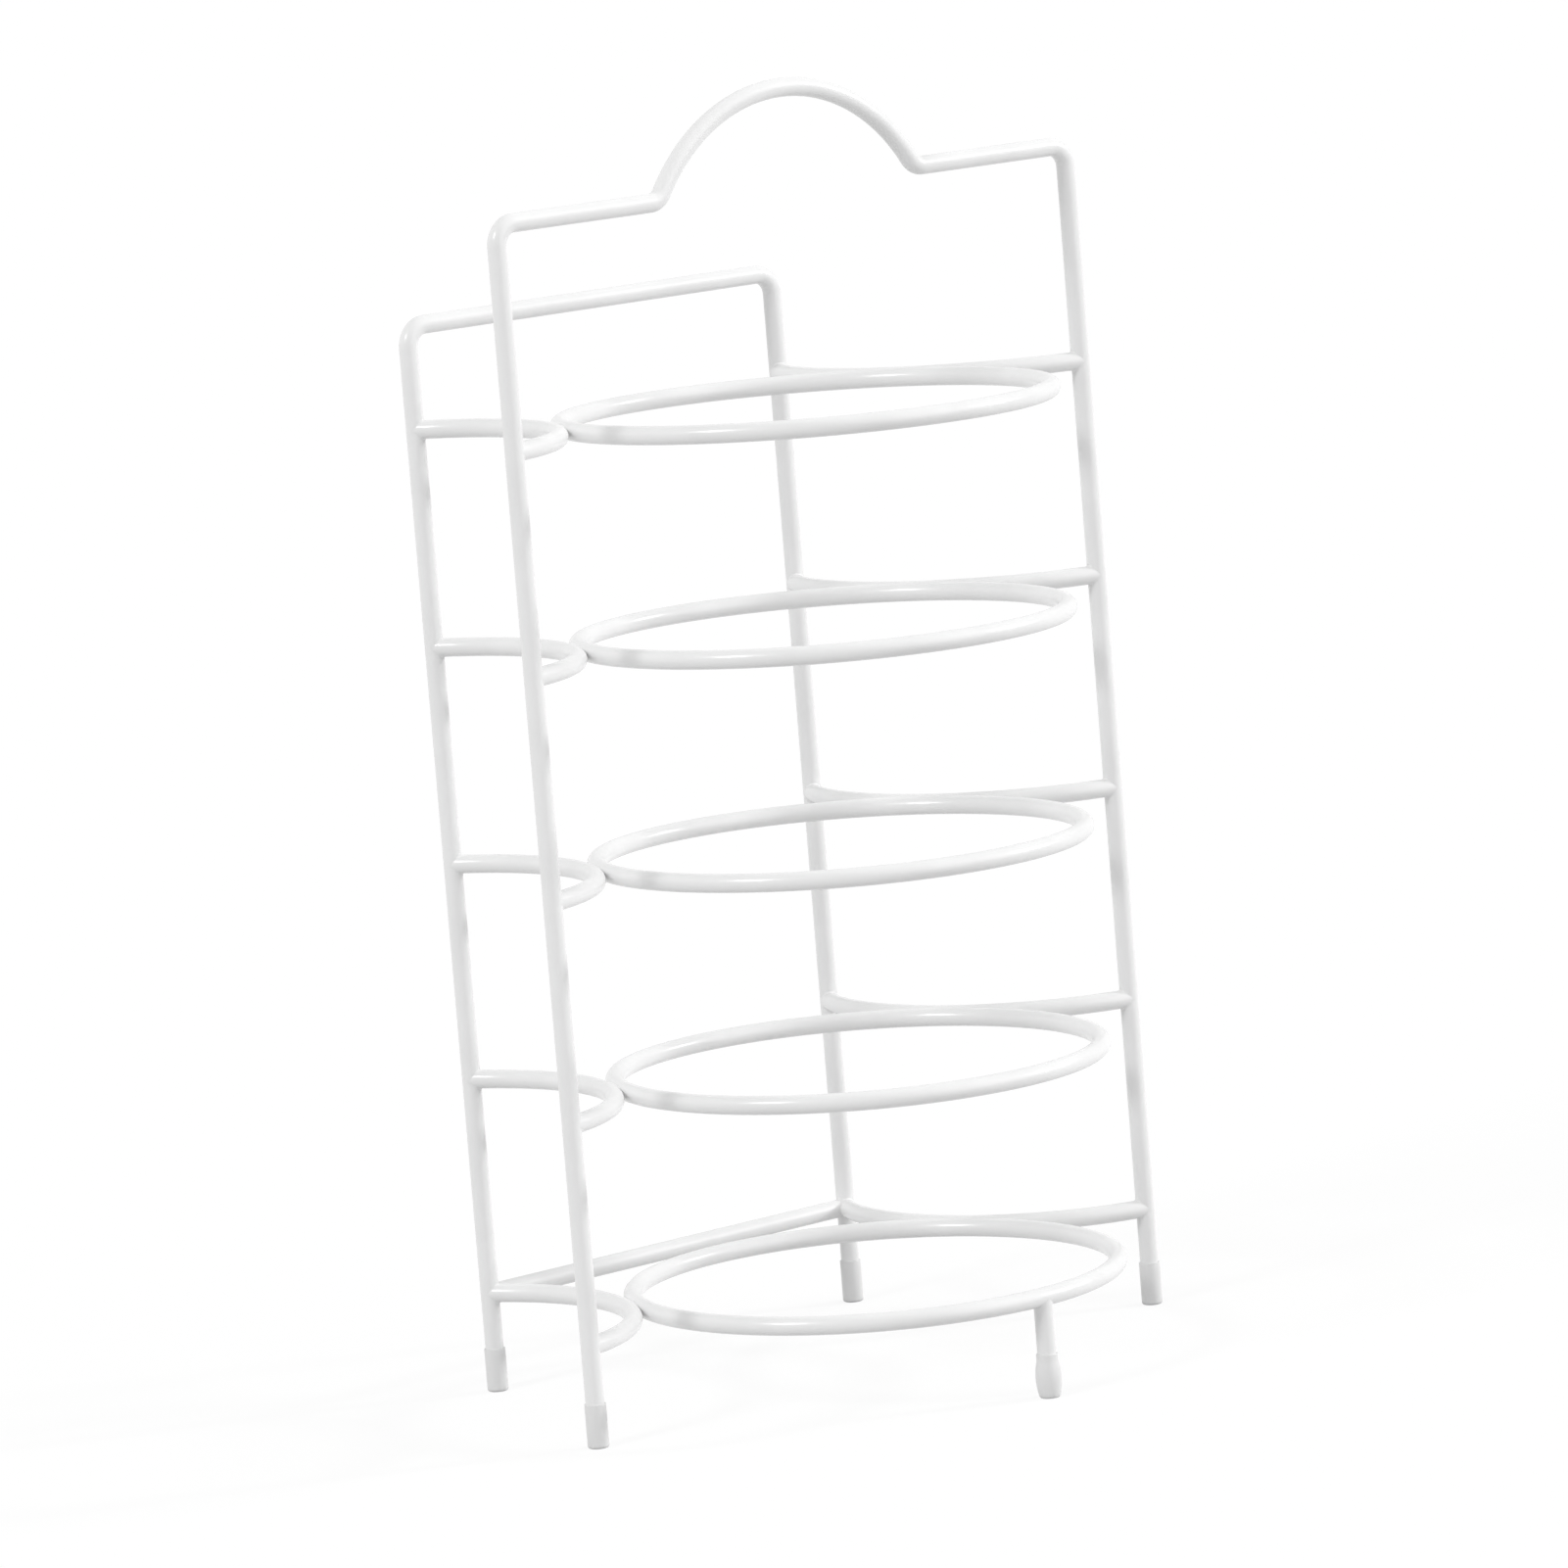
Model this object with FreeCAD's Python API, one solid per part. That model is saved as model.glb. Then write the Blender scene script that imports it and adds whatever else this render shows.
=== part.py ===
import FreeCAD, Part
import math
import os
from FreeCAD import Vector

# Five-tier plate rack of coated steel wire, in millimetres.
# X runs along the tall handle frame, plates go in from the front at -Y, and Z is up.
# The origin lies on the floor, in the middle of the rack's outline.
# Sizes of frames and rings are taken between the centrelines of their wires.

# Driving dimensions: wire and welds
wire_diameter = 6.0           # over the coating
weld_depth = 1.0              # how far two wires that lie side by side are pressed together
weld_fillet = 0.7             # rise of the coating where a wire ends against another
weld_groove_length = 13.0     # stretch of the groove between ring and arm that the weld fills
weld_groove_diameter = 4.4    # size of that filling

# Driving dimensions: plate rings
ring_diameter = 155.5
ring_count = 5
ring_pitch = 70.0
lowest_ring_height = 32.0

# Driving dimensions: handle frame, the tall one that the rings are centred in
handle_frame_width = 241.0
handle_bar_above_rings = 70.0
handle_arch_radius = 63.6
handle_arch_rise = 30.4
handle_arch_foot_radius = 6.0
handle_corner_radius = 7.0

# Driving dimensions: rear frame, the low one
rear_frame_width = 155.5
rear_frame_setback = 99.5     # behind the handle frame
rear_bar_above_rings = 33.0
rear_corner_radius = 7.0

# Driving dimensions: foot caps
cap_length = 14.0
cap_wall = 0.4
cap_floor = 1.8
cap_clearance = 0.02          # between a leg and the bore of its cap
cap_edge_radius = 0.8
front_cap_bulge = 0.7         # the front leg's cap swells past the others by this much
front_cap_collar = 2.2        # height of the plain collar above the swelling

# Sizes that follow from the driving dimensions
wire_radius = wire_diameter / 2
ring_radius = ring_diameter / 2
top_ring_height = lowest_ring_height + (ring_count - 1) * ring_pitch
handle_bar_height = top_ring_height + handle_bar_above_rings
rear_bar_height = top_ring_height + rear_bar_above_rings
cap_bore_radius = wire_radius + cap_clearance
cap_radius = cap_bore_radius + cap_wall
front_cap_radius = cap_radius + front_cap_bulge
butt_setback = 0.1 * wire_diameter     # a wire that ends against another stops short of its centreline
flare_inset = 0.03 * wire_radius       # a weld's flare fades out this far inside the wire
flare_half_width = 0.8 * wire_radius   # and is narrower than the wire, so that it rises from its middle

# The middle of the outline, from the front cap to the rear caps, is at Y = 0
front_reach = ring_radius + max(wire_radius, front_cap_radius)
rear_reach = rear_frame_setback + max(wire_radius, cap_radius)
handle_plane = (front_reach - rear_reach) / 2
rear_plane = handle_plane + rear_frame_setback
front_leg_y = handle_plane - ring_radius


def straight(start, end):
    """Straight run between two points."""
    return Part.LineSegment(start, end).toShape()


def upright_arc(plane, centre_x, centre_z, radius, start_angle, end_angle):
    """Arc in a frame's upright plane, by its angles from +X towards +Z in degrees."""
    points = []
    for angle in (start_angle, (start_angle + end_angle) / 2, end_angle):
        turn = math.radians(angle)
        points.append(Vector(centre_x + radius * math.cos(turn), plane, centre_z + radius * math.sin(turn)))
    return Part.Arc(*points).toShape()


def wire_along(edges):
    """Round wire swept along a chain of runs and arcs."""
    first = edges[0]
    section = Part.makeCircle(wire_radius, first.valueAt(first.FirstParameter), first.tangentAt(first.FirstParameter))
    return Part.Wire(edges).makePipeShell([Part.Wire([section])], True, False)


def bent_wire(start, bends, end):
    """Round wire from start to end, straight between its bends."""
    edges = []
    here = start
    for bend in bends:
        bend_start = bend.valueAt(bend.FirstParameter)
        if here.distanceToPoint(bend_start) > Part.Precision.confusion():
            edges.append(straight(here, bend_start))
        edges.append(bend)
        here = bend.valueAt(bend.LastParameter)
    edges.append(straight(here, end))
    return wire_along(edges)


def handle_frame():
    """Tall inverted U with the carrying arch in the middle of its top bar."""
    half_width = handle_frame_width / 2
    corner_x = half_width - handle_corner_radius
    corner_z = handle_bar_height - handle_corner_radius
    arch_z = handle_bar_height + handle_arch_rise - handle_arch_radius
    foot_z = handle_bar_height + handle_arch_foot_radius
    centre_distance = handle_arch_radius + handle_arch_foot_radius
    foot_x = math.sqrt(centre_distance ** 2 - (foot_z - arch_z) ** 2)
    arch_end = math.degrees(math.atan2(foot_z - arch_z, foot_x))
    bends = [
        upright_arc(handle_plane, -corner_x, corner_z, handle_corner_radius, 180, 90),
        upright_arc(handle_plane, -foot_x, foot_z, handle_arch_foot_radius, -90, -arch_end),
        upright_arc(handle_plane, 0, arch_z, handle_arch_radius, 180 - arch_end, arch_end),
        upright_arc(handle_plane, foot_x, foot_z, handle_arch_foot_radius, 180 + arch_end, 270),
        upright_arc(handle_plane, corner_x, corner_z, handle_corner_radius, 90, 0),
    ]
    left_end = Vector(-half_width, handle_plane, cap_floor)
    right_end = Vector(half_width, handle_plane, cap_floor)
    return bent_wire(left_end, bends, right_end)


def rear_frame():
    """Low inverted U with a plain top bar."""
    half_width = rear_frame_width / 2
    corner_x = half_width - rear_corner_radius
    corner_z = rear_bar_height - rear_corner_radius
    bends = [
        upright_arc(rear_plane, -corner_x, corner_z, rear_corner_radius, 180, 90),
        upright_arc(rear_plane, corner_x, corner_z, rear_corner_radius, 90, 0),
    ]
    left_end = Vector(-half_width, rear_plane, cap_floor)
    right_end = Vector(half_width, rear_plane, cap_floor)
    return bent_wire(left_end, bends, right_end)


def plate_ring():
    """Closed wire ring of the lowest tier, on which plates rest."""
    return Part.makeTorus(ring_radius, wire_radius, Vector(0, handle_plane, lowest_ring_height))


def weld_flare(end, outward, along):
    """Rise of the coating where a wire ends at another one's centreline.

    outward points back along the ending wire, and along is the direction of the wire that it meets.
    """
    across = outward.cross(along)
    turned = FreeCAD.Rotation(along, across, outward, "XYZ")
    stations = (
        (butt_setback, weld_fillet),
        (wire_radius, weld_fillet),
        (wire_radius + weld_fillet / 3, weld_fillet / 3),
        (wire_radius + weld_fillet, -flare_inset),
    )
    sections = []
    for distance, rise in stations:
        outline = Part.Ellipse(Vector(0, 0, 0), wire_radius + rise, flare_half_width).toShape()
        outline.Placement = FreeCAD.Placement(end + outward * distance, turned)
        sections.append(Part.Wire([outline]))
    return Part.makeLoft(sections, True, True)


def left_arm(handle_leg, rear_leg, ring):
    """Bowed arm of the lowest tier, from the left handle leg to the left rear leg.

    Its arc passes through the centrelines of both legs and touches the ring from outside on its
    way, with the two wires pressed together by the weld depth.
    """
    ring_centre = Vector(0, handle_plane, lowest_ring_height)
    front_end = Vector(-handle_frame_width / 2, handle_plane, lowest_ring_height)
    rear_end = Vector(-rear_frame_width / 2, rear_plane, lowest_ring_height)
    chord = rear_end - front_end
    half_chord = chord.Length / 2
    middle = (front_end + rear_end) / 2 - ring_centre
    inward = Vector(chord.y, -chord.x, 0).normalize()
    chord_distance = -middle.dot(inward)
    touch_radius = ring_radius + wire_diameter - weld_depth

    # How far outside the chord the arc's centre lies, from the condition that it touches the ring
    excess = middle.Length ** 2 - half_chord ** 2 - touch_radius ** 2
    square_term = chord_distance ** 2 - touch_radius ** 2
    linear_term = excess * chord_distance
    constant_term = excess ** 2 / 4 - (touch_radius * half_chord) ** 2
    root = math.sqrt(linear_term ** 2 - 4 * square_term * constant_term)
    offset = (root - linear_term) / (2 * square_term)
    arc_radius = math.hypot(half_chord, offset)
    arc_centre = ring_centre + middle - inward * offset

    def on_arc(target):
        return arc_centre + (target - arc_centre).normalize() * arc_radius

    apex = on_arc(arc_centre + inward)
    ends = []
    flares = []
    for corner in (front_end, rear_end):
        spoke = corner - arc_centre
        tangent = Vector(-spoke.y, spoke.x, 0).normalize()
        if tangent.dot(apex - corner) < 0:
            tangent = -tangent
        ends.append(on_arc(corner + tangent * butt_setback))
        flares.append(weld_flare(corner, tangent, Vector(0, 0, 1)))
    arm = wire_along([Part.Arc(ends[0], apex, ends[1]).toShape()])

    touch = on_arc(ring_centre)
    to_ring = (ring_centre - touch).normalize()
    groove = Vector(-to_ring.y, to_ring.x, 0)
    groove_middle = touch + to_ring * (wire_radius - weld_depth / 2)
    groove_start = groove_middle - groove * (weld_groove_length / 2)
    filling = Part.makeCylinder(weld_groove_diameter / 2, weld_groove_length, groove_start, groove)
    return arm.fuse([filling] + flares).cut([handle_leg, rear_leg, ring]).removeSplitter()


def rear_stretcher(frame, arms):
    """Straight wire between the rear legs, level with the lowest arms and cut back to their welds."""
    half_width = rear_frame_width / 2
    left = Vector(-half_width, rear_plane, lowest_ring_height)
    right = Vector(half_width, rear_plane, lowest_ring_height)
    inset = Vector(butt_setback, 0, 0)
    bar = wire_along([straight(left + inset, right - inset)])
    return bar.cut([frame] + arms).removeSplitter()


def front_leg(ring):
    """Short post under the front of the lowest ring."""
    foot = Vector(0, front_leg_y, cap_floor)
    top = Vector(0, front_leg_y, lowest_ring_height)
    down = Vector(0, 0, -1)
    post = wire_along([straight(foot, top + down * butt_setback)])
    return post.fuse(weld_flare(top, down, Vector(1, 0, 0))).cut(ring).removeSplitter()


def revolved(profile, x, y):
    """Solid turned about an upright axis from a profile of edges in the XZ plane."""
    solid = Part.Face(Part.Wire(profile)).revolve(Vector(0, 0, 0), Vector(0, 0, 1), 360)
    solid.translate(Vector(x, y, 0))
    return solid


def foot_cap(x, y, bulge):
    """Soft cup pushed over a leg's end, barrel-shaped below a collar where it has a bulge."""
    edge_start = Vector(cap_radius - cap_edge_radius, 0, 0)
    edge_middle = Vector(
        cap_radius - cap_edge_radius * (1 - math.sqrt(0.5)), 0, cap_edge_radius * (1 - math.sqrt(0.5)))
    edge_end = Vector(cap_radius, 0, cap_edge_radius)
    collar = Vector(cap_radius, 0, cap_length - front_cap_collar)
    rim = Vector(cap_radius, 0, cap_length)
    bore_rim = Vector(cap_bore_radius, 0, cap_length)
    bore_end = Vector(cap_bore_radius, 0, cap_floor)
    floor_middle = Vector(0, 0, cap_floor)
    base_middle = Vector(0, 0, 0)
    if bulge > 0:
        belly = Vector(cap_radius + bulge, 0, (cap_edge_radius + collar.z) / 2)
        side = [Part.Arc(edge_end, belly, collar).toShape(), straight(collar, rim)]
    else:
        side = [straight(edge_end, rim)]
    profile = [straight(base_middle, edge_start), Part.Arc(edge_start, edge_middle, edge_end).toShape()]
    profile += side
    profile += [straight(rim, bore_rim), straight(bore_rim, bore_end), straight(bore_end, floor_middle)]
    profile.append(straight(floor_middle, base_middle))
    return revolved(profile, x, y)


def build():
    """Every piece by its node name."""
    handle = handle_frame()
    rear = rear_frame()
    lowest_ring = plate_ring()
    lowest_left_arm = left_arm(handle, rear, lowest_ring)
    lowest_right_arm = lowest_left_arm.mirror(Vector(0, 0, 0), Vector(1, 0, 0))
    pieces = {"handle_frame": handle, "rear_frame": rear}
    for tier in range(ring_count):
        lift = Vector(0, 0, tier * ring_pitch)
        pieces["plate_ring_%d" % (tier + 1)] = lowest_ring.translated(lift)
        pieces["left_arm_%d" % (tier + 1)] = lowest_left_arm.translated(lift)
        pieces["right_arm_%d" % (tier + 1)] = lowest_right_arm.translated(lift)
    pieces["rear_stretcher"] = rear_stretcher(rear, [lowest_left_arm, lowest_right_arm])
    pieces["front_leg"] = front_leg(lowest_ring)
    pieces["front_leg_cap"] = foot_cap(0, front_leg_y, front_cap_bulge)
    for name, side in (("left", -1), ("right", 1)):
        pieces["handle_leg_cap_" + name] = foot_cap(side * handle_frame_width / 2, handle_plane, 0)
        pieces["rear_leg_cap_" + name] = foot_cap(side * rear_frame_width / 2, rear_plane, 0)
    return pieces


def main():
    os.makedirs("parts", exist_ok=True)
    for name, shape in build().items():
        solids = shape.Solids
        if len(solids) != 1 or not shape.isValid():
            raise RuntimeError("%s should be one sound solid, and has %d" % (name, len(solids)))
        solids[0].exportStep("parts/%s.step" % name)
        print("%s volume %.1f mm3" % (name, solids[0].Volume))


main()
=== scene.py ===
import math

import bmesh
import bpy
from mathutils import Matrix, Vector


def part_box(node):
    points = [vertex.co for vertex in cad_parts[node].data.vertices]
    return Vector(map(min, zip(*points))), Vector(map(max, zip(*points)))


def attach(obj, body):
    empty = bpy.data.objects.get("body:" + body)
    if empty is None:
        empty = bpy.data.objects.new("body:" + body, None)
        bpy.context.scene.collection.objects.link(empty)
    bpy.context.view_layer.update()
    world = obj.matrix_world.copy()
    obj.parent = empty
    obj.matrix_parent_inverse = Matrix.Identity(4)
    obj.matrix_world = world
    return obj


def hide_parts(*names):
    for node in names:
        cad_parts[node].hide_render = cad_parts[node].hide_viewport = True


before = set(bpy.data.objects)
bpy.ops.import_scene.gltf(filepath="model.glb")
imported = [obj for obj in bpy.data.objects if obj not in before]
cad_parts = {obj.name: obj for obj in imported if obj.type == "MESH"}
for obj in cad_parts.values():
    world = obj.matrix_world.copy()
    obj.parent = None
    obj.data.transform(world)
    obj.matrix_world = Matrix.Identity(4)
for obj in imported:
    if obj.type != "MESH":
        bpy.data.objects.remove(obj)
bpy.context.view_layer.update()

bl_info = {
    "name": "Five-tier plate rack",
    "version": (1, 0, 0),
    "blender": (4, 5, 0),
    "location": "3D View > Sidebar > Plate Rack",
    "description": "Models a plate rack of white coated wire on soft foot caps, and the studio it stands in",
    "category": "Add Mesh",
}

MILLIMETRE = 0.001
RIGHT = Vector((1, 0, 0))
UP = Vector((0, 0, 1))
CLOCKWISE = Vector((0, 1, 0))           # axis of a bend to the right, seen from the front
WIRE_SIDES = 36
BEND_TOLERANCE = 0.015 * MILLIMETRE     # how far a facet may cut inside a round bend
MERGE_DISTANCE = 0.001 * MILLIMETRE
CREASE_ANGLE = math.radians(40)
CAP_ROUNDING_STEPS = 6
WELD_STEPS = 6
BEAD_STEPS = 10
SEAT_DEPTH = 0.02 * MILLIMETRE          # how far the thin edge of a weld is sunk into its seat
NOISE_MIDDLE = 0.5                      # value about which soft noise varies
COATING_IOR = 1.5
CAP_IOR = 1.45
FLOOR_RADIUS = 30.0
FLOOR_SIDES = 64
SENSOR_WIDTH = 36.0                     # of the camera, in millimetres
WHITE = (1.0, 1.0, 1.0, 1.0)


# Properties that a user would change

def length(label, note, millimetres):
    """A length property whose default is given in millimetres."""
    default = millimetres * MILLIMETRE
    return bpy.props.FloatProperty(name=label, description=note, default=default, unit="LENGTH", precision=5)


def angle(label, note, degrees):
    """An angle property whose default is given in degrees."""
    default = math.radians(degrees)
    return bpy.props.FloatProperty(name=label, description=note, default=default, subtype="ANGLE")


def amount(label, note, default):
    """A plain number property from 0 upwards."""
    return bpy.props.FloatProperty(name=label, description=note, default=default, min=0.0, precision=4)


def colour(label, note, red, green, blue):
    """A colour property in linear values."""
    return bpy.props.FloatVectorProperty(
        name=label, description=note, default=(red, green, blue), subtype="COLOR", min=0.0, max=1.0)


class PlateRackSizes(bpy.types.PropertyGroup):
    """Sizes of the wires and caps, between the centrelines of the wires."""

    wire_diameter: length("Wire diameter", "Over the coating", 6.0)
    ring_diameter: length("Ring diameter", "Plate ring, between centrelines", 155.5)
    handle_bar_height: length("Handle bar height", "Top bar of the tall frame above the floor", 382.0)
    handle_arch_radius: length("Handle arch radius", "Round of the carrying arch", 63.6)
    handle_arch_rise: length("Handle arch rise", "Top of the arch above the bar", 30.4)
    handle_arch_foot_radius: length("Arch foot radius", "Bend where the arch leaves the bar", 6.0)
    corner_radius: length("Corner radius", "Bend at the top of each leg", 7.0)
    weld_depth: length("Weld depth", "How far ring and arm are pressed together", 1.0)
    weld_fillet: length("Weld fillet", "Rise of the coating where a wire ends against another", 0.7)
    weld_bead_length: length("Weld bead length", "Filling of the groove between ring and arm", 15.0)
    weld_bead_diameter: length("Weld bead diameter", "Thickest place of that filling", 4.4)
    cap_wall: length("Cap wall", "How far a foot cap stands out from its leg", 0.42)
    cap_floor: length("Cap floor", "Cap material under the end of a leg", 1.8)
    cap_edge_radius: length("Cap edge radius", "Rounding of a cap's lower edge", 0.8)
    cap_rim_radius: length("Cap rim radius", "Rounding of a cap's upper edge", 0.16)
    front_cap_bulge: length("Front cap bulge", "Swelling of the front leg's cap", 0.7)
    front_cap_collar: length("Front cap collar", "Plain collar above that swelling", 2.2)


class PlateRackFinish(bpy.types.PropertyGroup):
    """Colours, gloss and unevenness of the coating and the caps."""

    coating: colour("Coating", "White coating of the wires", 0.86, 0.86, 0.86)
    coating_thin: colour("Thin coating", "Where the coating is a little thinner", 0.835, 0.835, 0.835)
    coating_roughness: amount("Coating roughness", "Gloss of the coating", 0.24)
    patch_size: length("Patch size", "Patches where the coating is thinner", 22.0)
    patch_blur: amount("Patch blur", "How softly the patches fade, in steps of noise", 0.15)
    patch_gloss: amount("Patch gloss", "How much the roughness follows the patches", 0.05)
    wave_size: length("Wave size", "Slow waves in the coating", 7.0)
    peel_size: length("Peel size", "Fine orange peel on the coating", 1.6)
    peel_share: amount("Peel share", "Height of the peel beside that of the waves", 0.3)
    peel_gloss: amount("Peel gloss", "How much the roughness follows the peel", 0.03)
    coating_relief: length("Coating relief", "Height of the waves in the coating", 0.1)
    coating_bump: amount("Coating bump", "How strongly waves and peel show", 0.8)
    cap: colour("Cap", "Soft grey foot cap", 0.77, 0.77, 0.77)
    # Painted contact shade: this darker grey on the lowest part of each cap stands for scuffing and for the
    # shade where the cap meets the floor.
    cap_scuffed_and_shaded: colour("Scuffed cap", "Foot cap where it rubs on the floor", 0.66, 0.66, 0.66)
    cap_roughness: amount("Cap roughness", "Gloss of the caps", 0.42)
    cloud_size: length("Cloud size", "Cloudy patches on the caps", 4.0)
    cloud_gloss: amount("Cloud gloss", "How much the roughness follows the clouds", 0.15)
    grain_size: length("Grain size", "Fine grain of the caps", 0.5)
    grain_relief: length("Grain relief", "Height of that grain", 0.05)
    grain_bump: amount("Grain bump", "How strongly that grain shows", 0.2)
    # These heights bound the darker band of scuffing and painted contact shade at the foot of each cap.
    scuff_and_shade_full: length("Full scuff", "Height up to which a cap is scuffed all over", 0.2)
    scuff_and_shade_end: length("Scuff end", "Height above which a cap is clean", 1.4)
    scuff_and_shade_waver: length("Scuff waver", "How far the clouds move those heights", 1.0)
    scuff_gloss: amount("Scuff gloss", "How much rougher the scuffs are", 0.1)


class PlateRackStudio(bpy.types.PropertyGroup):
    """Camera, light and floor."""

    camera_aim: bpy.props.FloatVectorProperty(
        name="Camera aim", description="Point in the middle of the picture",
        default=(0.006541, 0.021689, 0.188530), subtype="TRANSLATION", unit="LENGTH", precision=5)
    camera_azimuth: angle("Camera azimuth", "Turn of the camera round the rack from its front", -41.2831)
    camera_elevation: angle("Camera elevation", "Height of the camera above the horizon", 7.6237)
    camera_roll: angle("Camera roll", "Tilt of the picture", -4.6495)
    camera_distance: length("Camera distance", "From the aim to the camera", 2883.13)
    camera_lens: bpy.props.FloatProperty(
        name="Lens", description="Focal length on a 36 mm sensor", default=206.577, unit="CAMERA")
    dome: amount("Dome", "Even light from all round", 0.585)
    wash: amount("Wash", "Wide soft light on the camera's right", 0.92)
    wash_turn: angle("Wash turn", "From the camera round to the wash, to the right", 70)
    wash_elevation: angle("Wash elevation", "Height of the wash", 15)
    fill: amount("Fill", "Wide faint light on the camera's left", 0.28)
    fill_turn: angle("Fill turn", "From the camera round to the fill, to the right", -95)
    fill_elevation: angle("Fill elevation", "Height of the fill", 5)
    glow_core: angle("Glow core", "From the middle of the wash or the fill to where it starts to fade", 15)
    glow_edge: angle("Glow edge", "From the middle of the wash or the fill to where it ends", 45)
    key_lamp: amount("Key lamp", "Soft box on the camera's left", 1.0)
    key_turn: angle("Key turn", "From the camera round to the key lamp, to the right", -47.3)
    key_elevation: angle("Key elevation", "Height of the key lamp", 36)
    key_spread: angle("Key spread", "Width of the key lamp, seen from the rack", 13)
    side_lamp: amount("Side lamp", "Soft box on the camera's right", 1.22)
    side_turn: angle("Side turn", "From the camera round to the side lamp, to the right", 100.3)
    side_elevation: angle("Side elevation", "Height of the side lamp", 21.8)
    side_spread: angle("Side spread", "Width of the side lamp, seen from the rack", 6.5)
    floor_reflectance: amount("Floor reflectance", "How much light the floor gives back to the rack", 0.59)
    floor_shadow: amount("Floor shadow", "How strongly the rack's shadow shows on the white floor", 0.15)


class Layout:
    """Places of the wires in metres, from the sizes and from the frame."""

    def __init__(self):
        size = bpy.context.scene.plate_rack_sizes
        handle_low, handle_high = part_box("handle_frame")
        rear_low, rear_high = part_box("rear_frame")
        self.size = size
        self.wire_radius = size.wire_diameter / 2
        self.ring_radius = size.ring_diameter / 2
        self.handle_plane = (handle_low.y + handle_high.y) / 2
        self.rear_plane = (rear_low.y + rear_high.y) / 2
        self.handle_half_width = handle_high.x - self.wire_radius
        self.rear_half_width = rear_high.x - self.wire_radius
        self.rear_bar_height = rear_high.z - self.wire_radius
        self.front_leg_y = self.handle_plane - self.ring_radius
        self.weld_reach = self.wire_radius + 2 * size.weld_fillet
        self.tier_heights = []
        while "plate_ring_%d" % (len(self.tier_heights) + 1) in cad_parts:
            low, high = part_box("plate_ring_%d" % (len(self.tier_heights) + 1))
            self.tier_heights.append((low.z + high.z) / 2)

    def tier_lift(self, tier):
        """Offset from the lowest tier to another one, counted from 0."""
        return UP * (self.tier_heights[tier] - self.tier_heights[0])

    def arm_arc(self):
        """Centre, radius and both ends of the lowest left arm's arc.

        The arc passes through the centrelines of the left handle leg and the left rear leg, and
        touches the lowest ring from outside, pressed in by the weld depth.
        """
        height = self.tier_heights[0]
        ring_centre = Vector((0, self.handle_plane, height))
        front_end = Vector((-self.handle_half_width, self.handle_plane, height))
        rear_end = Vector((-self.rear_half_width, self.rear_plane, height))
        chord = rear_end - front_end
        half_chord = chord.length / 2
        middle = (front_end + rear_end) / 2 - ring_centre
        inward = Vector((chord.y, -chord.x, 0)).normalized()
        chord_distance = -middle.dot(inward)
        touch_radius = self.ring_radius + self.size.wire_diameter - self.size.weld_depth
        excess = middle.length_squared - half_chord ** 2 - touch_radius ** 2
        square_term = chord_distance ** 2 - touch_radius ** 2
        linear_term = excess * chord_distance
        constant_term = excess ** 2 / 4 - (touch_radius * half_chord) ** 2
        root = math.sqrt(linear_term ** 2 - 4 * square_term * constant_term)
        offset = (root - linear_term) / (2 * square_term)
        centre = ring_centre + middle - inward * offset
        return centre, math.hypot(half_chord, offset), front_end, rear_end


# Modelling by hand

def deselect():
    """Leaves edit mode with nothing selected."""
    if bpy.context.object is not None and bpy.context.object.mode != "OBJECT":
        bpy.ops.object.mode_set(mode="OBJECT")
    bpy.ops.object.select_all(action="DESELECT")


def pick(piece):
    """Selects one piece alone."""
    deselect()
    piece.select_set(True)
    bpy.context.view_layer.objects.active = piece


def start_section(name, point, heading, radius):
    """Adds the round section that a piece starts from, square to its heading, and opens it for editing."""
    deselect()
    turn = Vector(heading).to_track_quat("Z", "Y").to_euler()
    bpy.ops.mesh.primitive_circle_add(vertices=WIRE_SIDES, radius=radius, location=point, rotation=turn)
    piece = bpy.context.active_object
    piece.name = name
    piece.data.name = name
    bpy.ops.object.transform_apply(location=True, rotation=True, scale=True)
    bpy.ops.object.mode_set(mode="EDIT")
    bpy.ops.mesh.select_all(action="SELECT")
    return piece


def draw_run(offset):
    """Draws the open end out along a straight run."""
    bpy.ops.mesh.extrude_region_move(TRANSFORM_OT_translate={"value": Vector(offset)})


def draw_bend(centre, axis, turn):
    """Draws the open end round a bend, by the right hand about the axis."""
    piece = bpy.context.active_object
    piece.update_from_editmode()
    reach = max((vertex.co - Vector(centre)).length for vertex in piece.data.vertices if vertex.select)
    steps = math.ceil(abs(turn) / (2 * math.acos(1 - BEND_TOLERANCE / reach)))
    bpy.ops.mesh.spin(steps=steps, angle=turn, center=centre, axis=-Vector(axis))


def swell(ratio, centre, axes=Matrix.Identity(3)):
    """Scales the open end about a point, by one ratio for each axis."""
    bpy.ops.transform.resize(
        value=ratio, center_override=centre, orient_type="GLOBAL", orient_matrix=axes,
        orient_matrix_type="GLOBAL", constraint_axis=(True, True, True))


def pick_open_end(point, reach):
    """Selects the open edge that lies within reach of a point."""
    bpy.ops.mesh.select_all(action="DESELECT")
    piece = bpy.context.active_object
    mesh = bmesh.from_edit_mesh(piece.data)
    for edge in mesh.edges:
        if edge.is_boundary and (edge.verts[0].co - point).length < reach:
            edge.select_set(True)
    bmesh.update_edit_mesh(piece.data)


def close_piece():
    """Merges the seams, closes the ends, turns every face outwards and leaves edit mode."""
    piece = bpy.context.active_object
    bpy.ops.mesh.select_all(action="SELECT")
    bpy.ops.mesh.remove_doubles(threshold=MERGE_DISTANCE)
    bpy.ops.mesh.fill_holes(sides=0)
    bpy.ops.mesh.select_all(action="SELECT")
    bpy.ops.mesh.normals_make_consistent(inside=False)
    bpy.ops.object.mode_set(mode="OBJECT")
    return piece


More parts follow.
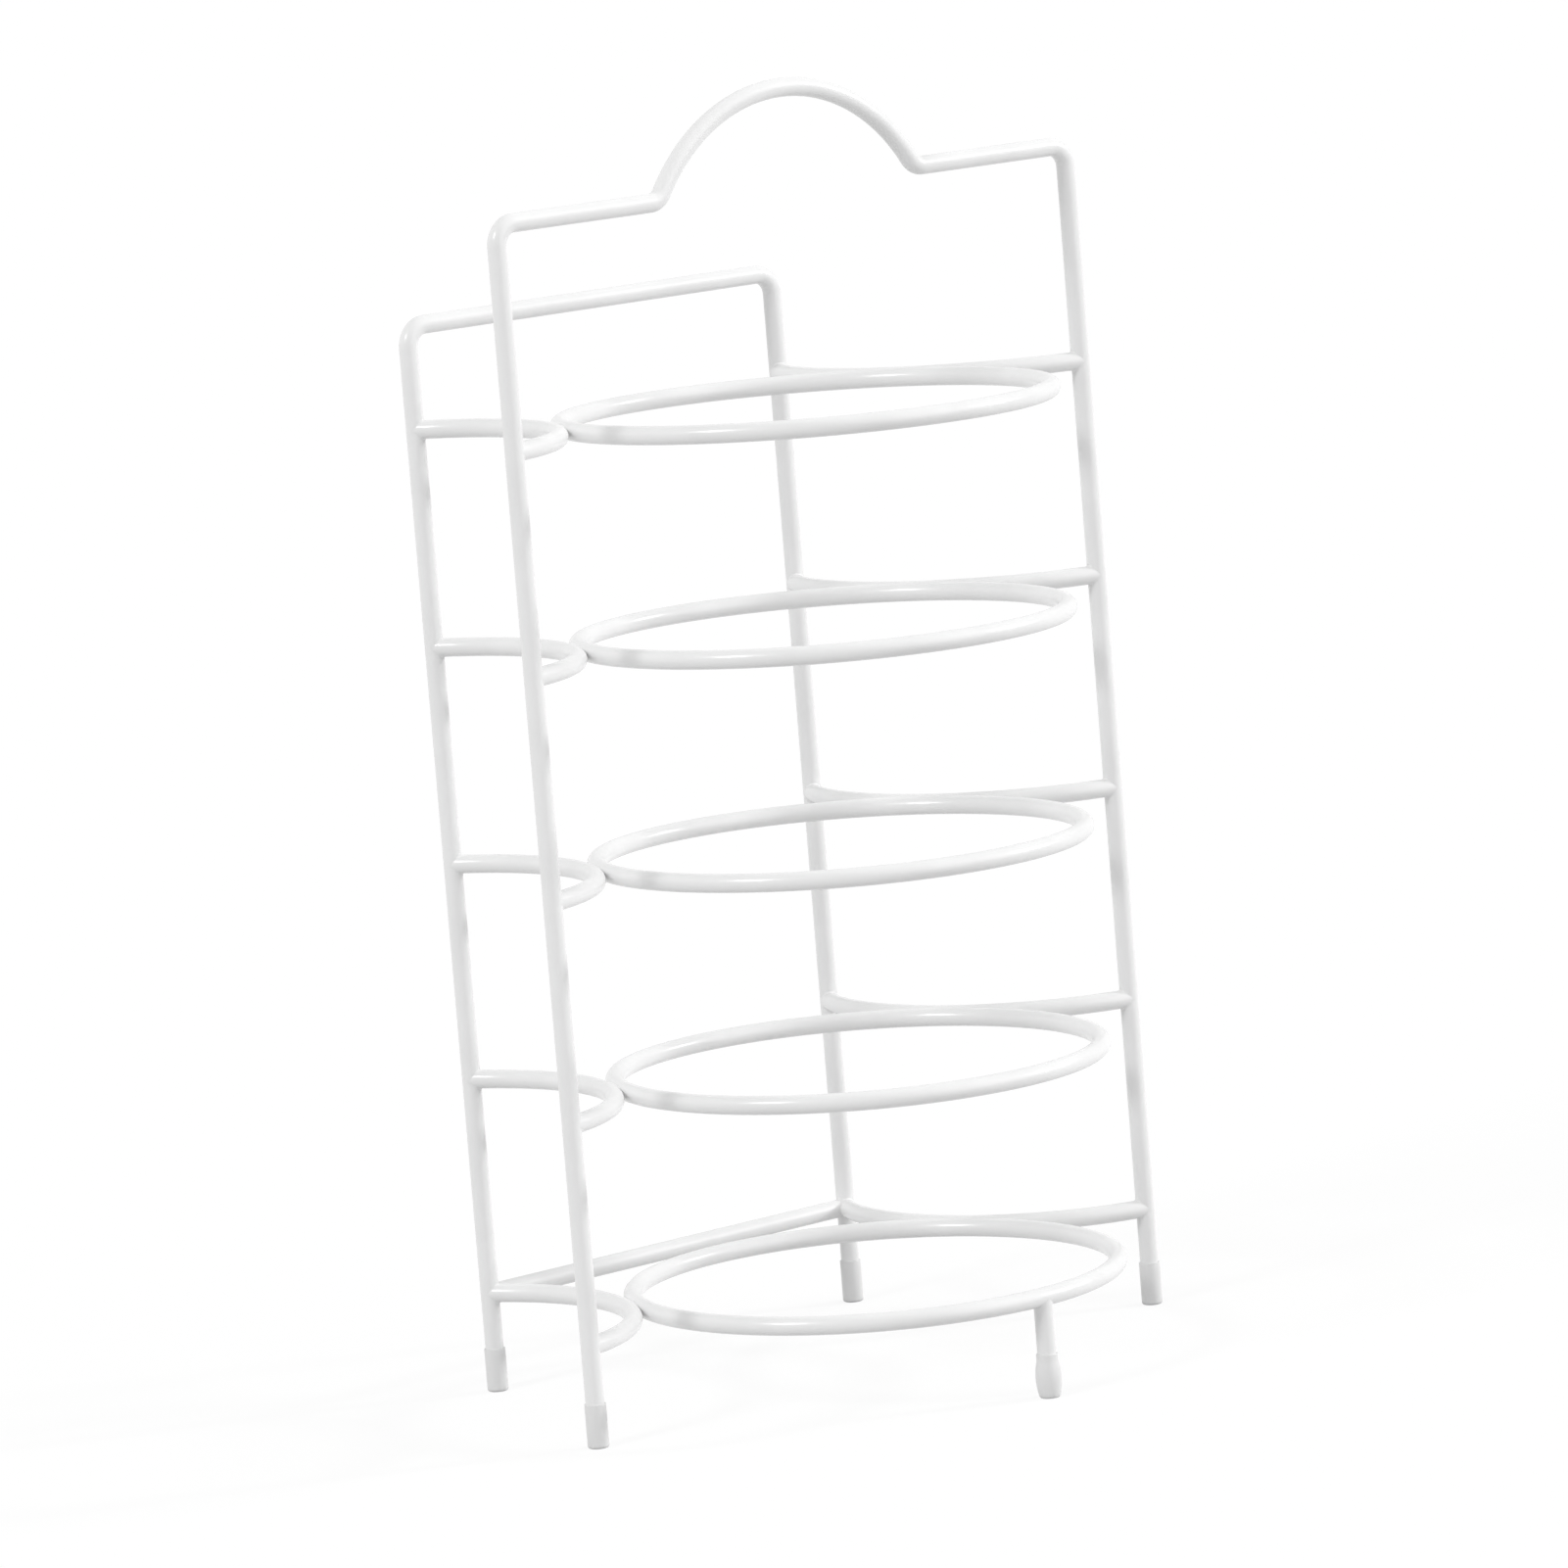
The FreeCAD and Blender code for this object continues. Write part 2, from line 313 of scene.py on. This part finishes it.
def combine(piece, operation, others):
    """Joins other pieces to this one, or cuts them out of it."""
    pick(piece)
    for other in others:
        modifier = piece.modifiers.new(operation.title(), "BOOLEAN")
        modifier.operation = operation
        modifier.solver = "EXACT"
        modifier.object = other
        bpy.ops.object.modifier_apply(modifier=modifier.name)


def remove(piece):
    """Deletes a piece that was only used to shape another."""
    pick(piece)
    bpy.ops.object.delete()


def copy_piece(piece, name, offset):
    """A moved copy with its own mesh."""
    pick(piece)
    bpy.ops.object.duplicate(linked=False)
    copied = bpy.context.active_object
    copied.name = name
    copied.data.name = name
    bpy.ops.transform.translate(value=Vector(offset))
    bpy.ops.object.transform_apply(location=True, rotation=False, scale=False)
    return copied


def mirror_piece(piece, name):
    """A copy with its own mesh on the other side of the rack."""
    copied = copy_piece(piece, name, (0, 0, 0))
    bpy.ops.transform.resize(value=(-1, 1, 1), center_override=(0, 0, 0))
    bpy.ops.object.transform_apply(location=False, rotation=False, scale=True)
    bpy.ops.object.mode_set(mode="EDIT")
    bpy.ops.mesh.select_all(action="SELECT")
    bpy.ops.mesh.normals_make_consistent(inside=False)
    bpy.ops.object.mode_set(mode="OBJECT")
    return copied


def finish_piece(piece, node, material):
    """Smooths a closed piece, gives it its material and puts it in the place of its node."""
    pick(piece)
    bpy.ops.object.mode_set(mode="EDIT")
    bpy.ops.mesh.select_mode(type="EDGE")
    bpy.ops.mesh.select_all(action="DESELECT")
    bpy.ops.mesh.select_non_manifold()
    bpy.ops.object.mode_set(mode="OBJECT")
    if any(edge.select for edge in piece.data.edges):
        raise RuntimeError("%s isn't closed" % piece.name)
    bpy.ops.object.shade_smooth_by_angle(angle=CREASE_ANGLE)
    piece.data.materials.clear()
    piece.data.materials.append(material)
    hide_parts(node)
    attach(piece, "root")


def finish_wire(piece, node):
    """Finishes a piece of coated wire."""
    finish_piece(piece, node, coating_material())


# Shader maths

class Signal:
    """One output of a shader node. Arithmetic on it adds Math nodes to its tree."""

    def __init__(self, tree, socket=None):
        self.tree = tree
        self.socket = socket

    def node(self, kind, settings=None, inputs=None, output=0):
        """Adds a node, sets it up, fills or links its inputs and returns one of its outputs."""
        made = self.tree.nodes.new(kind)
        for key, value in (settings or {}).items():
            setattr(made, key, value)
        for key, value in (inputs or {}).items():
            if isinstance(value, Signal):
                self.tree.links.new(value.socket, made.inputs[key])
            else:
                made.inputs[key].default_value = value
        return Signal(self.tree, made.outputs[output] if made.outputs else None)

    def maths(self, operation, first, second):
        """One Math node."""
        return self.node("ShaderNodeMath", {"operation": operation}, {0: first, 1: second})

    def __add__(self, other):
        return self.maths("ADD", self, other)

    def __radd__(self, other):
        return self.maths("ADD", other, self)

    def __sub__(self, other):
        return self.maths("SUBTRACT", self, other)

    def __rsub__(self, other):
        return self.maths("SUBTRACT", other, self)

    def __mul__(self, other):
        return self.maths("MULTIPLY", self, other)

    def __rmul__(self, other):
        return self.maths("MULTIPLY", other, self)

    def between(self, low, high):
        """0 below low, 1 above high and smooth in between."""
        settings = {"interpolation_type": "SMOOTHSTEP"}
        inputs = {"Value": self, "From Min": low, "From Max": high}
        return self.node("ShaderNodeMapRange", settings, inputs)

    def blend(self, low_colour, high_colour):
        """Mixes two colours by this value, through the Mix node's colour inputs 6 and 7 and its output 2."""
        settings = {"data_type": "RGBA"}
        return self.node("ShaderNodeMix", settings, {0: self, 6: low_colour, 7: high_colour}, output=2)


def noise(canvas, place, size, detail=2.0):
    """Soft noise about 0.5 whose blotches are about this size in metres."""
    inputs = {"Vector": place, "Scale": 1.0 / size, "Detail": detail}
    return canvas.node("ShaderNodeTexNoise", None, inputs)


def relief(canvas, height, distance, strength):
    """Normal of a surface whose bumps stand up to this distance."""
    inputs = {"Strength": strength, "Distance": distance, "Height": height}
    return canvas.node("ShaderNodeBump", None, inputs)


def seen_directly(canvas):
    """1 for rays from the camera, a mirror or through glass, and 0 for the light that falls on things."""
    camera, glossy, transmission = (
        canvas.node("ShaderNodeLightPath", output="Is %s Ray" % kind)
        for kind in ("Camera", "Glossy", "Transmission"))
    return canvas.maths("MAXIMUM", camera, canvas.maths("MAXIMUM", glossy, transmission))


def opaque(value):
    """A colour property with its alpha."""
    return (*value, 1.0)


def new_material(name):
    """An empty node material and the canvas that its nodes are added to."""
    material = bpy.data.materials.new(name)
    material.use_nodes = True
    material.node_tree.nodes.clear()
    return material, Signal(material.node_tree)


def coating_material():
    """Glossy white dip coating with a faint orange peel and slow changes of thickness."""
    if "white_coating" in bpy.data.materials:
        return bpy.data.materials["white_coating"]
    finish = bpy.context.scene.plate_rack_finish
    material, canvas = new_material("white_coating")
    place = canvas.node("ShaderNodeTexCoord", output="Object")
    thickness = noise(canvas, place, finish.patch_size)
    peel = noise(canvas, place, finish.peel_size, detail=1.0)
    waves = noise(canvas, place, finish.wave_size)
    full = thickness.between(NOISE_MIDDLE - finish.patch_blur, NOISE_MIDDLE + finish.patch_blur)
    dullness = finish.patch_gloss * (thickness - NOISE_MIDDLE) + finish.peel_gloss * (peel - NOISE_MIDDLE)
    height = peel * finish.peel_share + waves
    shader = canvas.node("ShaderNodeBsdfPrincipled", None, {
        "Base Color": full.blend(opaque(finish.coating_thin), opaque(finish.coating)),
        "Roughness": finish.coating_roughness + dullness,
        "IOR": COATING_IOR,
        "Normal": relief(canvas, height, finish.coating_relief, finish.coating_bump),
    })
    canvas.node("ShaderNodeOutputMaterial", None, {"Surface": shader})
    return material


def cap_material():
    """Soft grey moulded cap with a fine grain, darker where it stands on the floor, from scuffing and from
    painted contact shade.
    """
    if "soft_cap" in bpy.data.materials:
        return bpy.data.materials["soft_cap"]
    finish = bpy.context.scene.plate_rack_finish
    material, canvas = new_material("soft_cap")
    place = canvas.node("ShaderNodeTexCoord", output="Object")
    height = canvas.node("ShaderNodeSeparateXYZ", None, {"Vector": place}, output="Z")
    grain = noise(canvas, place, finish.grain_size)
    cloud = noise(canvas, place, finish.cloud_size) - NOISE_MIDDLE
    # Painted contact shade along with scuffing: the lowest part of each cap is given the darker grey.
    scuffed_and_shaded = 1 - (height + cloud * finish.scuff_and_shade_waver).between(finish.scuff_and_shade_full, finish.scuff_and_shade_end)
    dullness = finish.cloud_gloss * cloud + finish.scuff_gloss * scuffed_and_shaded
    shader = canvas.node("ShaderNodeBsdfPrincipled", None, {
        "Base Color": scuffed_and_shaded.blend(opaque(finish.cap), opaque(finish.cap_scuffed_and_shaded)),
        "Roughness": finish.cap_roughness + dullness,
        "IOR": CAP_IOR,
        "Normal": relief(canvas, grain, finish.grain_relief, finish.grain_bump),
    })
    canvas.node("ShaderNodeOutputMaterial", None, {"Surface": shader})
    return material


# Shapes that the operators put together

def weld_end(layout, crossing, heading, rise, depth=SEAT_DEPTH):
    """Copes the open end of a wire to the wire that it meets, and spreads it onto that wire in a fillet.

    The centrelines cross at a point, from which the heading leads along this wire and the rise along
    the other. Wires of one thickness meet in two slanted planes, so the end is cut by those. Each turn
    of the fillet is the cut edge again, shortened along the heading and stretched along the rise.
    """
    radius = layout.wire_radius
    fillet = layout.size.weld_fillet
    axes = Matrix((heading, rise.cross(heading), rise)).transposed()
    pick_open_end(crossing, 2 * layout.weld_reach)
    draw_run(heading * -2 * layout.weld_reach)
    for side in (rise, -rise):
        slant = (heading * radius + side * (radius + fillet)).normalized()
        bpy.ops.mesh.select_all(action="SELECT")
        bpy.ops.mesh.bisect(plane_co=crossing, plane_no=slant, clear_inner=True, threshold=MERGE_DISTANCE)
    pick_open_end(crossing, 2 * layout.weld_reach)
    reach, height = radius + fillet, radius
    for step in range(1, WELD_STEPS + 1):
        turn = math.pi / 2 * step / WELD_STEPS
        next_reach = radius + fillet - (fillet + depth) * math.sin(turn)
        next_height = radius + fillet * (1 - math.cos(turn))
        draw_run((0, 0, 0))
        swell((next_reach / reach, 1, next_height / height), crossing, axes)
        reach, height = next_reach, next_height
    draw_run((0, 0, 0))
    swell((1, 1, 0), crossing, axes)


def bowed_arm(layout, name, depth=SEAT_DEPTH):
    """The bare arm, welded to a leg at each end."""
    centre, arc_radius, front_end, rear_end = layout.arm_arc()
    whole_turn = (front_end - centre).angle(rear_end - centre)
    side = 1 if (front_end - centre).cross(rear_end - centre).z > 0 else -1
    axis = UP * side
    end_turn = layout.weld_reach / arc_radius
    start = centre + Matrix.Rotation(side * end_turn, 3, UP) @ (front_end - centre)
    stop = centre + Matrix.Rotation(-side * end_turn, 3, UP) @ (rear_end - centre)
    piece = start_section(name, start, axis.cross(start - centre), layout.wire_radius)
    draw_bend(centre, axis, whole_turn - 2 * end_turn)
    weld_end(layout, front_end, (start - front_end).normalized(), UP, depth)
    weld_end(layout, rear_end, (stop - rear_end).normalized(), UP, depth)
    close_piece()
    return piece


def weld_bead(layout):
    """Spindle that fills the groove where the arm and the ring touch."""
    size = layout.size
    centre, arc_radius = layout.arm_arc()[:2]
    ring_centre = Vector((0, layout.handle_plane, centre.z))
    to_ring = (ring_centre - centre).normalized()
    middle = centre + to_ring * (arc_radius + layout.wire_radius - size.weld_depth / 2)
    along = to_ring.cross(UP)
    half_length = size.weld_bead_length / 2
    places = [-math.cos(math.pi * (step + 0.5) / BEAD_STEPS) for step in range(BEAD_STEPS)]
    girths = [math.sqrt(1 - place ** 2) for place in places]
    start = middle + along * (places[0] * half_length)
    start_section("weld_bead", start, along, size.weld_bead_diameter / 2 * girths[0])
    for step in range(1, BEAD_STEPS):
        draw_run(along * ((places[step] - places[step - 1]) * half_length))
        ratio = girths[step] / girths[step - 1]
        swell((ratio, ratio, ratio), middle + along * (places[step] * half_length))
    return close_piece()


# Operators, one for each piece or group of like pieces

class HandleFrameOperator(bpy.types.Operator):
    """Bends the tall frame with the carrying arch in its top bar"""

    bl_idname = "plate_rack.handle_frame"
    bl_label = "Handle frame"

    def execute(self, context):
        layout = Layout()
        size = layout.size
        plane = layout.handle_plane
        half_width = layout.handle_half_width
        corner_x = half_width - size.corner_radius
        corner_z = size.handle_bar_height - size.corner_radius
        arch_z = size.handle_bar_height + size.handle_arch_rise - size.handle_arch_radius
        foot_z = size.handle_bar_height + size.handle_arch_foot_radius
        foot_spoke = size.handle_arch_radius + size.handle_arch_foot_radius
        foot_x = math.sqrt(foot_spoke ** 2 - (foot_z - arch_z) ** 2)
        foot_turn = math.pi / 2 - math.atan2(foot_z - arch_z, foot_x)
        start = (-half_width, plane, size.cap_floor)
        piece = start_section("handle_frame_coated", start, UP, layout.wire_radius)
        draw_run((0, 0, corner_z - size.cap_floor))
        draw_bend((-corner_x, plane, corner_z), CLOCKWISE, math.pi / 2)
        draw_run((corner_x - foot_x, 0, 0))
        draw_bend((-foot_x, plane, foot_z), -CLOCKWISE, foot_turn)
        draw_bend((0, plane, arch_z), CLOCKWISE, 2 * foot_turn)
        draw_bend((foot_x, plane, foot_z), -CLOCKWISE, foot_turn)
        draw_run((corner_x - foot_x, 0, 0))
        draw_bend((corner_x, plane, corner_z), CLOCKWISE, math.pi / 2)
        draw_run((0, 0, size.cap_floor - corner_z))
        close_piece()
        finish_wire(piece, "handle_frame")
        return {"FINISHED"}


class RearFrameOperator(bpy.types.Operator):
    """Bends the low frame at the back"""

    bl_idname = "plate_rack.rear_frame"
    bl_label = "Rear frame"

    def execute(self, context):
        layout = Layout()
        size = layout.size
        plane = layout.rear_plane
        half_width = layout.rear_half_width
        corner_x = half_width - size.corner_radius
        corner_z = layout.rear_bar_height - size.corner_radius
        start = (-half_width, plane, size.cap_floor)
        piece = start_section("rear_frame_coated", start, UP, layout.wire_radius)
        draw_run((0, 0, corner_z - size.cap_floor))
        draw_bend((-corner_x, plane, corner_z), CLOCKWISE, math.pi / 2)
        draw_run((2 * corner_x, 0, 0))
        draw_bend((corner_x, plane, corner_z), CLOCKWISE, math.pi / 2)
        draw_run((0, 0, size.cap_floor - corner_z))
        close_piece()
        finish_wire(piece, "rear_frame")
        return {"FINISHED"}


class PlateRingsOperator(bpy.types.Operator):
    """Rolls the lowest plate ring and copies it to the other tiers"""

    bl_idname = "plate_rack.plate_rings"
    bl_label = "Plate rings"

    def execute(self, context):
        layout = Layout()
        height = layout.tier_heights[0]
        start = (layout.ring_radius, layout.handle_plane, height)
        lowest = start_section("plate_ring_1_coated", start, (0, 1, 0), layout.wire_radius)
        draw_bend((0, layout.handle_plane, height), UP, 2 * math.pi)
        close_piece()
        rings = [lowest]
        for tier in range(1, len(layout.tier_heights)):
            name = "plate_ring_%d_coated" % (tier + 1)
            rings.append(copy_piece(lowest, name, layout.tier_lift(tier)))
        for tier, ring in enumerate(rings):
            finish_wire(ring, "plate_ring_%d" % (tier + 1))
        return {"FINISHED"}


class SideArmsOperator(bpy.types.Operator):
    """Bows the lowest left arm, welds it to its ring, and copies it to the other tiers and side"""

    bl_idname = "plate_rack.side_arms"
    bl_label = "Side arms"

    def execute(self, context):
        layout = Layout()
        arm = bowed_arm(layout, "left_arm_1_coated")
        bead = weld_bead(layout)
        combine(arm, "UNION", [bead])
        remove(bead)
        combine(arm, "DIFFERENCE", [bpy.data.objects["plate_ring_1_coated"]])
        arms = {"left_arm_1": arm, "right_arm_1": mirror_piece(arm, "right_arm_1_coated")}
        for side in ("left", "right"):
            for tier in range(1, len(layout.tier_heights)):
                node = "%s_arm_%d" % (side, tier + 1)
                lowest = arms["%s_arm_1" % side]
                arms[node] = copy_piece(lowest, node + "_coated", layout.tier_lift(tier))
        for node, piece in arms.items():
            finish_wire(piece, node)
        return {"FINISHED"}


class RearStretcherOperator(bpy.types.Operator):
    """Runs the straight wire between the rear legs and cuts it back where the lowest arms meet it"""

    bl_idname = "plate_rack.rear_stretcher"
    bl_label = "Rear stretcher"

    def execute(self, context):
        layout = Layout()
        middle = Vector((0, layout.rear_plane, layout.tier_heights[0]))
        half_length = RIGHT * layout.rear_half_width
        half_run = RIGHT * (layout.rear_half_width - layout.weld_reach)
        piece = start_section("rear_stretcher_coated", middle - half_run, RIGHT, layout.wire_radius)
        draw_run(2 * half_run)
        weld_end(layout, middle - half_length, RIGHT, UP)
        weld_end(layout, middle + half_length, -RIGHT, UP)
        close_piece()
        left_blank = bowed_arm(layout, "left_arm_blank", layout.wire_radius / 2)
        right_blank = mirror_piece(left_blank, "right_arm_blank")
        combine(piece, "DIFFERENCE", [left_blank, right_blank])
        remove(left_blank)
        remove(right_blank)
        finish_wire(piece, "rear_stretcher")
        return {"FINISHED"}


class FrontLegOperator(bpy.types.Operator):
    """Raises the short post under the front of the lowest ring"""

    bl_idname = "plate_rack.front_leg"
    bl_label = "Front leg"

    def execute(self, context):
        layout = Layout()
        foot = Vector((0, layout.front_leg_y, layout.size.cap_floor))
        crossing = Vector((0, layout.front_leg_y, layout.tier_heights[0]))
        piece = start_section("front_leg_coated", foot, UP, layout.wire_radius)
        draw_run(crossing - foot - UP * layout.weld_reach)
        weld_end(layout, crossing, -UP, RIGHT)
        close_piece()
        finish_wire(piece, "front_leg")
        return {"FINISHED"}


class FootCapsOperator(bpy.types.Operator):
    """Turns the soft caps that the legs stand in"""

    bl_idname = "plate_rack.foot_caps"
    bl_label = "Foot caps"

    def execute(self, context):
        layout = Layout()
        plain = self.turned_cap(layout, "handle_leg_cap_left", 0.0)
        start = self.cap_place("handle_leg_cap_left")
        caps = {"handle_leg_cap_left": plain}
        for node in ("handle_leg_cap_right", "rear_leg_cap_left", "rear_leg_cap_right"):
            caps[node] = copy_piece(plain, node + "_moulded", self.cap_place(node) - start)
        caps["front_leg_cap"] = self.turned_cap(layout, "front_leg_cap", layout.size.front_cap_bulge)
        for node, piece in caps.items():
            finish_piece(piece, node, cap_material())
        return {"FINISHED"}

    def cap_place(self, node):
        """Middle of a cap's base on the floor."""
        low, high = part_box(node)
        return Vector(((low.x + high.x) / 2, (low.y + high.y) / 2, 0))

    def turned_cap(self, layout, node, bulge):
        """One cap, drawn up from the rounded edge of its base, over its rim and down its bore."""
        place = self.cap_place(node)
        profile = self.cap_profile(layout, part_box(node)[1].z, bulge)
        radius, height = profile[0]
        piece = start_section(node + "_moulded", place + UP * height, UP, radius)
        for next_radius, next_height in profile[1:]:
            draw_run((0, 0, next_height - height))
            ratio = next_radius / radius
            swell((ratio, ratio, 1), place)
            radius, height = next_radius, next_height
        return close_piece()

    def cap_profile(self, layout, cap_height, bulge):
        """Radius and height of each turn of the outline, from the base round to the floor of the bore."""
        size = layout.size
        bore = layout.wire_radius
        outside = bore + size.cap_wall
        edge = size.cap_edge_radius
        rim = size.cap_rim_radius
        profile = []
        for step in range(CAP_ROUNDING_STEPS + 1):
            turn = math.pi / 2 * step / CAP_ROUNDING_STEPS
            profile.append((outside - edge * (1 - math.sin(turn)), edge * (1 - math.cos(turn))))
        if bulge > 0:
            collar = cap_height - size.front_cap_collar
            steps = 2 * CAP_ROUNDING_STEPS
            for step in range(1, steps + 1):
                share_up = step / steps
                swelling = bulge * (1 - (2 * share_up - 1) ** 2)
                profile.append((outside + swelling, edge + (collar - edge) * share_up))
        for step in range(CAP_ROUNDING_STEPS + 1):
            turn = math.pi / 2 * step / CAP_ROUNDING_STEPS
            profile.append((outside - rim * (1 - math.cos(turn)), cap_height - rim * (1 - math.sin(turn))))
        profile.append((bore, cap_height - rim))
        profile.append((bore, size.cap_floor))
        return profile


class StudioOperator(bpy.types.Operator):
    """Lays the floor, sets the light and places the camera"""

    bl_idname = "plate_rack.studio"
    bl_label = "Studio"

    def execute(self, context):
        studio = context.scene.plate_rack_studio
        self.lay_floor(studio)
        self.light_studio(studio)
        self.place_camera(studio)
        context.scene.view_settings.view_transform = "Standard"
        return {"FINISHED"}

    def lay_floor(self, studio):
        """Wide pale floor, white to the camera apart from the rack's shadow."""
        deselect()
        bpy.ops.mesh.primitive_circle_add(
            vertices=FLOOR_SIDES, radius=FLOOR_RADIUS, fill_type="NGON", location=(0, 0, 0))
        floor = bpy.context.active_object
        floor.name = "studio_floor"
        material, canvas = new_material("pale_floor")
        grey = opaque((studio.floor_reflectance,) * 3)
        paint = canvas.node("ShaderNodeBsdfDiffuse", None, {"Color": grey})
        shaded = canvas.node("ShaderNodeBsdfDiffuse", None, {"Color": WHITE})
        white = canvas.node("ShaderNodeEmission", None, {"Color": WHITE, "Strength": 1.0})
        shown = canvas.node("ShaderNodeMixShader", None, {0: 1 - studio.floor_shadow, 1: shaded, 2: white})
        mixed = canvas.node("ShaderNodeMixShader", None, {0: seen_directly(canvas), 1: paint, 2: shown})
        canvas.node("ShaderNodeOutputMaterial", None, {"Surface": mixed})
        floor.data.materials.append(material)

    def toward(self, studio, turn, elevation):
        """Direction of a light or the camera, given by its turn to the camera's right and its height."""
        azimuth = studio.camera_azimuth + turn
        level = math.cos(elevation)
        return Vector((math.sin(azimuth) * level, -math.cos(azimuth) * level, math.sin(elevation)))

    def light_studio(self, studio):
        """Even dome with two wide glows in it, and two soft boxes."""
        world = bpy.data.worlds.new("studio_light")
        world.use_nodes = True
        world.node_tree.nodes.clear()
        bpy.context.scene.world = world
        canvas = Signal(world.node_tree)
        wash = studio.wash * self.glow(canvas, studio, studio.wash_turn, studio.wash_elevation)
        fill = studio.fill * self.glow(canvas, studio, studio.fill_turn, studio.fill_elevation)
        seen = seen_directly(canvas)
        unseen = 1 - canvas.node("ShaderNodeLightPath", output="Is Camera Ray")
        strength = seen + (1 - seen) * studio.dome + unseen * (wash + fill)
        light = canvas.node("ShaderNodeBackground", None, {"Color": WHITE, "Strength": strength})
        canvas.node("ShaderNodeOutputWorld", None, {"Surface": light})
        key = self.toward(studio, studio.key_turn, studio.key_elevation)
        side = self.toward(studio, studio.side_turn, studio.side_elevation)
        self.hang_lamp("key_lamp", key, studio.key_lamp, studio.key_spread)
        self.hang_lamp("side_lamp", side, studio.side_lamp, studio.side_spread)

    def glow(self, canvas, studio, turn, elevation):
        """Wide round patch of the dome, 1 in its middle and fading to 0 at its edge."""
        direction = canvas.node("ShaderNodeTexCoord", output="Generated")
        inputs = {0: direction, 1: self.toward(studio, turn, elevation)}
        facing = canvas.node("ShaderNodeVectorMath", {"operation": "DOT_PRODUCT"}, inputs, output="Value")
        return facing.between(math.cos(studio.glow_edge), math.cos(studio.glow_core))

    def hang_lamp(self, name, toward, strength, spread):
        """One distant soft box."""
        data = bpy.data.lights.new(name, "SUN")
        data.energy = strength
        data.angle = spread
        lamp = bpy.data.objects.new(name, data)
        bpy.context.scene.collection.objects.link(lamp)
        lamp.rotation_euler = toward.to_track_quat("Z", "Y").to_euler()

    def place_camera(self, studio):
        """Camera at the photograph's place, turned to its picture."""
        back = self.toward(studio, 0, studio.camera_elevation)
        right = UP.cross(back).normalized()
        turned = Matrix((right, back.cross(right), back)).transposed()
        turned = turned @ Matrix.Rotation(studio.camera_roll, 3, "Z")
        data = bpy.data.cameras.new("photo_camera")
        data.sensor_width = SENSOR_WIDTH
        data.lens = studio.camera_lens
        camera = bpy.data.objects.new("photo_camera", data)
        bpy.context.scene.collection.objects.link(camera)
        camera.matrix_world = turned.to_4x4()
        camera.location = Vector(studio.camera_aim) + back * studio.camera_distance
        bpy.context.scene.camera = camera


class PlateRackPanel(bpy.types.Panel):
    """Buttons that build the rack, in order"""

    bl_idname = "VIEW3D_PT_plate_rack"
    bl_label = "Plate Rack"
    bl_space_type = "VIEW_3D"
    bl_region_type = "UI"
    bl_category = "Plate Rack"

    def draw(self, context):
        for operator in OPERATORS:
            self.layout.operator(operator.bl_idname)
        for group in GROUPS:
            settings = getattr(context.scene, group)
            box = self.layout.box()
            for name in settings.__annotations__:
                box.prop(settings, name)


OPERATORS = (
    HandleFrameOperator,
    RearFrameOperator,
    PlateRingsOperator,
    SideArmsOperator,
    RearStretcherOperator,
    FrontLegOperator,
    FootCapsOperator,
    StudioOperator,
)
GROUPS = {
    "plate_rack_sizes": PlateRackSizes,
    "plate_rack_finish": PlateRackFinish,
    "plate_rack_studio": PlateRackStudio,
}


def register():
    """Adds the settings, the operators and the panel to Blender."""
    for name, group in GROUPS.items():
        bpy.utils.register_class(group)
        setattr(bpy.types.Scene, name, bpy.props.PointerProperty(type=group))
    for operator in OPERATORS:
        bpy.utils.register_class(operator)
    bpy.utils.register_class(PlateRackPanel)


def unregister():
    """Takes them out again."""
    bpy.utils.unregister_class(PlateRackPanel)
    for operator in reversed(OPERATORS):
        bpy.utils.unregister_class(operator)
    for name, group in GROUPS.items():
        delattr(bpy.types.Scene, name)
        bpy.utils.unregister_class(group)


def main():
    """Builds the rack and the studio."""
    register()
    bpy.ops.plate_rack.handle_frame()
    bpy.ops.plate_rack.rear_frame()
    bpy.ops.plate_rack.plate_rings()
    bpy.ops.plate_rack.side_arms()
    bpy.ops.plate_rack.rear_stretcher()
    bpy.ops.plate_rack.front_leg()
    bpy.ops.plate_rack.foot_caps()
    bpy.ops.plate_rack.studio()


if __name__ == "__main__":
    main()
